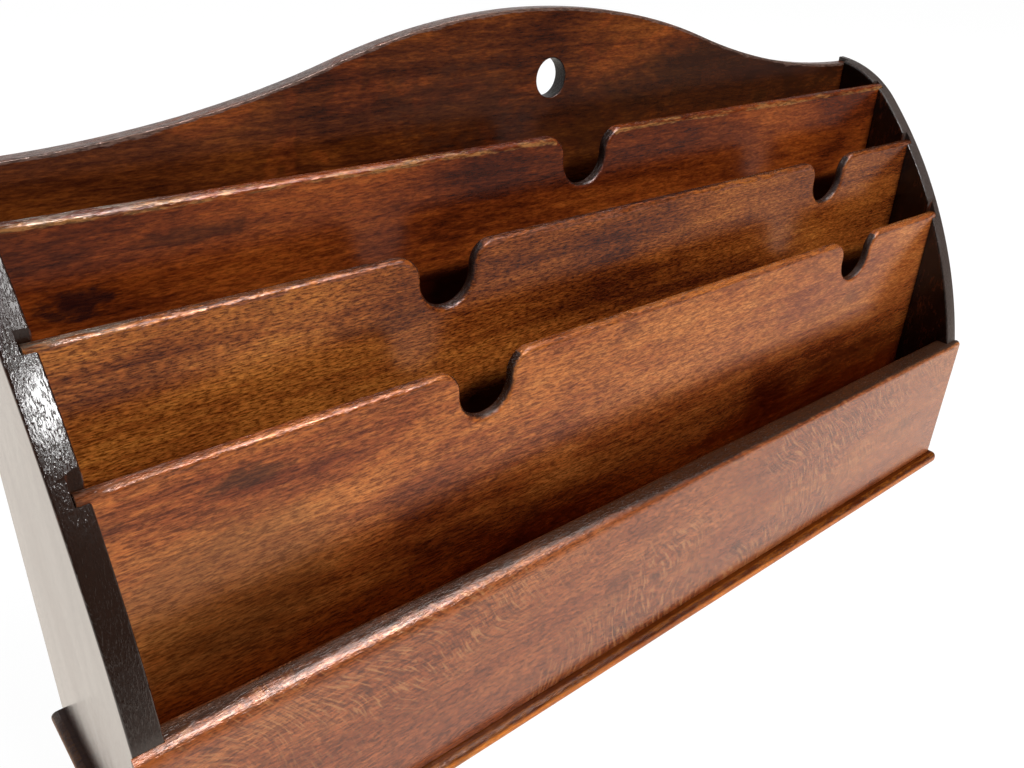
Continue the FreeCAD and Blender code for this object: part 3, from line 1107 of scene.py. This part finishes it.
# %% Front board
WORN_ENDS_AT = (-70, 10)
TOP_NEAR_EASE, LOW_NEAR_EASE, WORN_EASE = 1.8, 0.4, 2.8
TOP_FAR_EASE = 1.6
TOP_RUB, LOW_RUB = 1.0, 0.3
# On the top, dirt that darkens towards the right, as painted shade where no sheen falls.
TOP_DIRT_AND_SHADE, LOW_DIRT = (0.68, 0.9), 0.2
FRONT_MARGIN = (1.9, 0.8)
middles = (outline + np.roll(outline, -1, axis=0)) / 2
worn_most = np.interp(middles[:, 0], WORN_ENDS_AT, (1, 0)) * [on_front_top(m) for m in middles]
near = eased(outline, on_front_top, TOP_NEAR_EASE, LOW_NEAR_EASE, seed=12.5, variation=0.1)
far = eased(outline, on_front_top, TOP_FAR_EASE, HIDDEN_EASE, seed=13.5)
at_top = [on_front_top(p) for p in outline]
wear = np.where(at_top, TOP_RUB, LOW_RUB)
dirt_and_shade = np.where(at_top, np.interp(outline[:, 0], WORN_ENDS_AT, TOP_DIRT_AND_SHADE), LOW_DIRT)
front_board = board_mesh(
    "front_board_piece", [(outline, near + WORN_EASE * worn_most, far, wear, dirt_and_shade)],
    high[1] - low[1], upright(low[1]), margins=(FRONT_MARGIN, FRONT_MARGIN),
)
inner_x = -side_high[0]
cut_row(
    front_board, 2,
    (-high[0] - CLEAR, side_low[1], low[2] - CLEAR),
    (-inner_x, high[1] + CLEAR, high[2] + CLEAR),
    (high[0] + inner_x + CLEAR, 0, 0), WOODS["front_board"],
)
hand_over(front_board, "front_board")

# %% [markdown]
# ## Sides
# The front of each side follows two tangent arcs: a tight shoulder at the top and a
# long shallow one down to the front board. The back is rebated for the back board and
# the inside has the three housings.

# %% Outline of a side
SHOULDER_RADIUS, SHOULDER_START, SHOULDER_END = 43.3, 5.3, 45.5
SHOULDER_STEP, LONG_STEP = 2.0, 0.7


def side_outline(low, high):
    """Outline in the plane of y and z, from the toe round to the front edge."""
    top = np.array([high[1], high[2]])
    end = np.array([low[1], front_z])

    def outward(angle):
        return np.array([-math.sin(math.radians(angle)), math.cos(math.radians(angle))])

    shoulder_centre = top - outward(SHOULDER_START) * SHOULDER_RADIUS
    join = shoulder_centre + outward(SHOULDER_END) * SHOULDER_RADIUS
    chord = end - join
    long_radius = -chord.dot(chord) / (2 * outward(SHOULDER_END).dot(chord))
    long_centre = join - outward(SHOULDER_END) * long_radius
    last = math.degrees(math.atan2(*(end - long_centre)[::-1]))
    points = run((low[1], low[2]), (high[1], low[2])) + run((high[1], low[2]), top)
    first, join_at = 90 + SHOULDER_START, 90 + SHOULDER_END
    points += arc(shoulder_centre, SHOULDER_RADIUS, first, join_at, step=SHOULDER_STEP)
    points += arc(long_centre, long_radius, join_at, last, step=LONG_STEP)
    points += run(end, (low[1], low[2]))
    print("long radius", round(long_radius, 1), "ends at", round(last, 1))
    return np.array(points)


def flatwise(low_x):
    """Placing of a side, its near face towards the left."""
    def place(points, depths):
        return np.stack([low_x + depths, points[:, 0], points[:, 1]], axis=1)
    return place


print("shoulder turns", round(SHOULDER_END - SHOULDER_START, 1), "degrees")

# %% Sides with their housings and rebates
HOUSING_PLAY, HOUSING_DEPTH = 0.15, 3.2
CURVE_EASE, STRAIGHT_EASE = 0.6, 0.25
CURVE_WEAR, STRAIGHT_WEAR = 0.8, 0.4
SIDE_MARGIN = (2.0, 0.8)
CURVE_BAND, BACK_BAND = 1.0, 0.3
boxes = [in_mm(node) for node in DIVIDERS]
pitch = boxes[0][0][1] - boxes[1][0][1]
first_low, first_high = boxes[-1][0][1] - HOUSING_PLAY, boxes[-1][1][1] + HOUSING_PLAY
back_front = in_mm("back_board")[0][1]
for node, sense in (("left_side", -1), ("right_side", 1)):
    low, high = in_mm(node)
    outline = side_outline(low, high)

    def on_curve(point, back=high[1], bottom=front_z, front=low[1]):
        return (point[1] > bottom - CURVE_BAND
                and front - CURVE_BAND < point[0] < back - BACK_BAND)

    ease = eased(outline, on_curve, CURVE_EASE, STRAIGHT_EASE, seed=20.5 + sense)
    wear = np.where([on_curve(p) for p in outline], CURVE_WEAR, STRAIGHT_WEAR)
    piece = board_mesh(
        node + "_piece", [(outline, ease, ease, wear, np.ones(len(outline)))],
        high[0] - low[0], flatwise(low[0]), margins=(SIDE_MARGIN, SIDE_MARGIN),
    )
    middle = (low[0] + high[0]) / 2
    if sense > 0:
        inside, housed, rebated = low[0] - CLEAR, low[0] + HOUSING_DEPTH, middle
    else:
        inside, housed, rebated = high[0] + CLEAR, high[0] - HOUSING_DEPTH, middle
    for count, x, front, rear, step in (
        (len(DIVIDERS), housed, first_low, first_high, (0, pitch, 0)),
        (1, rebated, back_front, high[1] + CLEAR, (0, 0, 0)),
    ):
        cut_row(
            piece, count, (min(inside, x), front, low[2] - CLEAR),
            (max(inside, x), rear, high[2] + CLEAR), step, WOODS[node],
        )
    hand_over(piece, node)

# %% [markdown]
# ## Base board
# The plinth is a thin board that stands a little proud of the case. Its front and ends
# are thumb-rounded. The back is square, because it stands against the wall.

# %% Base board
BASE_CORNER, BASE_CORNER_STEP = 2.4, 15
BASE_EASE, REAR_EASE = 1.9, 0.15
THUMB_WEAR, REAR_WEAR = 1.0, 0.2
BASE_MARGIN, REAR_BAND = (0.5, 0.25), 0.1
low, high = in_mm("base_board")
right, front, rear = high[0], low[1], high[1]
inner, behind = right - BASE_CORNER, front + BASE_CORNER
outline = np.array(
    arc((-inner, behind), BASE_CORNER, 180, 270, step=BASE_CORNER_STEP)
    + run((-inner, front), (inner, front))
    + arc((inner, behind), BASE_CORNER, 270, 360, step=BASE_CORNER_STEP)
    + run((right, behind), (right, rear))
    + run((right, rear), (-right, rear)) + run((-right, rear), (-right, behind))
)


def on_thumb_round(point):
    return point[1] < rear - REAR_BAND


def lying(top_z):
    """Placing of a lying board, its near face up."""
    def place(points, depths):
        return np.stack([points[:, 0], points[:, 1], top_z - depths], axis=1)
    return place


ease = eased(outline, on_thumb_round, BASE_EASE, REAR_EASE, seed=30.5, variation=0.04)
wear = np.where([on_thumb_round(p) for p in outline], THUMB_WEAR, REAR_WEAR)
base_board = board_mesh(
    "base_board_piece", [(outline, ease, ease, wear, np.ones(len(outline)))],
    high[2] - low[2], lying(high[2]), margins=(BASE_MARGIN, BASE_MARGIN),
    punches=((), punches("base_pins", (0, 1), low[2])),
)
hand_over(base_board, "base_board")

# %% [markdown]
# ## The wires of the pins
# A panel pin is a short piece of wire. The tree makes one wire with its outer end at the
# origin, and puts a copy on each place found before, turned the way that node's pins go
# in. The steel is dull and a little rusty, and hardly shows.

# %% The pins
PIN_SIDES = 12
QUARTER = math.pi / 2
PIN_TURNS = {
    "base_pins": (0, 0, 0), "back_pins": (QUARTER, 0, 0), "front_pins": (-QUARTER, 0, 0),
}
SPECKS, STEEL_SHARE = (2500, 2500, 2500), 0.8


def pin_tree():
    nodes, given = new_geometry_tree("Driven pins", {
        "Radius": "Float", "Length": "Float", "Turn": "Rotation", "Finish": "Material",
    })
    wire = nodes.add("GeometryNodeMeshCylinder", {
        "Vertices": PIN_SIDES, "Radius": given["Radius"], "Depth": given["Length"],
    })
    half = nodes.add("ShaderNodeCombineXYZ", {"Z": nodes.times(given["Length"], 0.5)})
    driven = nodes.add("GeometryNodeTransform", {"Geometry": wire, "Translation": half})
    laid = nodes.add("GeometryNodeInstanceOnPoints", {
        "Points": given["Geometry"], "Instance": driven, "Rotation": given["Turn"],
    })
    return end_tree(nodes, given, laid)


def pin_steel():
    finish = Finish("dull_pin_steel")
    place = finish.add("ShaderNodeTexCoord").outputs["Object"]
    specks = finish.noise(place, SPECKS, detail=3.0, roughness=0.7)
    shader = finish.add("ShaderNodeBsdfPrincipled", {
        "Base Color": finish.ramp(specks, stops((0.35, 0.5, 0.65), "2a1a12 4b4038 77726c")),
        "Metallic": STEEL_SHARE, "Roughness": finish.between(specks, 0.3, 0.7, 0.6, 0.35),
    })
    finish.add("ShaderNodeOutputMaterial", {"Surface": shader})
    return finish.material


PIN_TREE, PIN_FINISH = pin_tree(), pin_steel()
for node, (starts, radius, length) in PINS.items():
    mesh = bpy.data.meshes.new(node + "_piece")
    mesh.from_pydata([Vector(start) * MM for start in starts], [], [])
    piece = new_piece(node + "_piece", mesh)
    made = apply_tree(piece, PIN_TREE, {
        "Radius": float(radius) * MM, "Length": float(length) * MM,
        "Turn": PIN_TURNS[node], "Finish": PIN_FINISH,
    })
    print(node, "faces", len(made.polygons))
    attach(piece, "root")
    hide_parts(node)

# %% [markdown]
# ## Floor and light
# The rack stands on a white sheet. The floor glows for the camera and in reflections,
# and takes light and shadow as plain white for everything else, so it stays white and
# still holds a faint shadow. A broad lamp overhead gives the sheen of the front board's
# rounded top. A long low lamp in front is the window: its light comes down at half a
# right angle and makes the bright lines on the arrises. The room is dim, but reflections
# see a pale wall behind the rack, which lifts the tops of the boards.

# %% Floor
FLOOR_HALF = 6.0
SHEET_GREY, DIM_GREY = (0.8, 0.8, 0.8, 1), (0.1, 0.1, 0.1, 1)
REFLECTED_SHEET, CLEAN_WHITE = (1.0, 0.91, 0.82), (1, 1, 1)
# In reflections the sheet's glow fades in front of the rack: a painted shadow there, and the end
# of the sheet.
DARK_IN_FRONT, FADE_LENGTH = 0.48, 0.40
NEAR_GLOW, FAR_GLOW, GLOW = 0.92, 0.08, 0.98


def white_floor():
    """White sheet whose glow in reflections fades some way in front of the rack: a painted shadow
    there, and the end of the sheet.
    """
    finish = Finish("white_sheet")
    path = finish.add("ShaderNodeLightPath").outputs
    camera_ray = path["Is Camera Ray"]
    glowing = finish.math("ADD", camera_ray, path["Is Glossy Ray"], clamp=True)
    glowing = finish.math("ADD", glowing, path["Is Transmission Ray"], clamp=True)
    place = finish.add("ShaderNodeTexCoord").outputs["Object"]
    depth = finish.add("ShaderNodeSeparateXYZ", {0: place}).outputs["Y"]
    near = finish.math("DIVIDE", finish.plus(depth, DARK_IN_FRONT), FADE_LENGTH, clamp=True)
    glow_with_painted_shadow = finish.plus(finish.times(finish.math("POWER", near, 2.0), NEAR_GLOW), FAR_GLOW)
    glow = finish.add("ShaderNodeEmission", {
        "Color": finish.mix(camera_ray, REFLECTED_SHEET, CLEAN_WHITE),
        "Strength": finish.times(finish.math("MAXIMUM", camera_ray, glow_with_painted_shadow), GLOW),
    })
    dim = finish.add("ShaderNodeBsdfDiffuse", {"Color": DIM_GREY})
    both = finish.add("ShaderNodeAddShader", {0: glow, 1: dim})
    plain = finish.add("ShaderNodeBsdfDiffuse", {"Color": SHEET_GREY})
    surface = finish.add("ShaderNodeMixShader", {0: glowing, 1: plain, 2: both})
    finish.add("ShaderNodeOutputMaterial", {"Surface": surface})
    return finish.material


mesh = bpy.data.meshes.new("floor")
corners = [
    (x * FLOOR_HALF, y * FLOOR_HALF, cad_low.z) for x, y in ((-1, -1), (1, -1), (1, 1), (-1, 1))
]
mesh.from_pydata(corners, [], [(0, 1, 2, 3)])
floor = new_piece("floor", mesh)
floor.data.materials.append(white_floor())
print("floor", 2 * FLOOR_HALF, "m wide at", round(cad_low.z / MM, 2), "mm")

# %% Lamps
RACK_MIDDLE = Vector((0, 0, 0.09))
# Direction from the rack, distance, size and power.
LAMPS = {
    "ceiling_lamp": ((0.32, -0.28, 0.90), 1.7, (0.9, 0.5), 12),
    "window_lamp": ((0.18, -0.68, 0.70), 1.3, (0.62, 0.18), 15),
}


def soft_lamp(name, direction, distance, size, power):
    data = bpy.data.lights.new(name, "AREA")
    data.shape = "RECTANGLE"
    data.size, data.size_y = size
    data.energy = power
    lamp = new_piece(name, data)
    lamp.location = RACK_MIDDLE + Vector(direction).normalized() * distance
    towards = RACK_MIDDLE - lamp.location
    lamp.rotation_euler = towards.to_track_quat("-Z", "Y").to_euler()
    print(name, "stands", distance, "m away")


for name, lamp in LAMPS.items():
    soft_lamp(name, *lamp)

# %% World
WALL_SLOPE, WALL_TOP, WALL_FULL = 0.8, 1.10, 0.70
WALL_BEHIND = (0.0, 0.3)
ROOM, WHITE = (0.05, 0.05, 0.05, 1), (1, 1, 1, 1)


def studio_world():
    """Dim room, white for the camera, with a pale wall low behind the rack in reflections."""
    world = bpy.data.worlds.new("studio")
    world.use_nodes = True
    nodes = Nodes(world.node_tree)
    path = nodes.add("ShaderNodeLightPath").outputs
    direction = nodes.add("ShaderNodeTexCoord").outputs["Generated"]
    towards = nodes.add("ShaderNodeSeparateXYZ", {0: direction}).outputs
    height = nodes.plus(towards["Z"], nodes.times(towards["X"], WALL_SLOPE))
    wall = nodes.times(
        nodes.between(height, WALL_TOP, WALL_FULL), nodes.between(towards["Y"], *WALL_BEHIND))
    clean = nodes.math("MAXIMUM", path["Is Camera Ray"], path["Is Transmission Ray"])
    shown = nodes.math("MAXIMUM", nodes.times(wall, path["Is Glossy Ray"]), clean)
    room = nodes.add("ShaderNodeBackground", {"Color": ROOM})
    white = nodes.add("ShaderNodeBackground", {"Color": WHITE})
    picked = nodes.add("ShaderNodeMixShader", {0: shown, 1: room, 2: white})
    nodes.add("ShaderNodeOutputWorld", {"Surface": picked})
    return world


bpy.context.scene.world = studio_world()
bpy.context.scene.view_settings.view_transform = "Standard"
print("world", bpy.context.scene.world.name)

# %% Finish
bpy.context.view_layer.update()
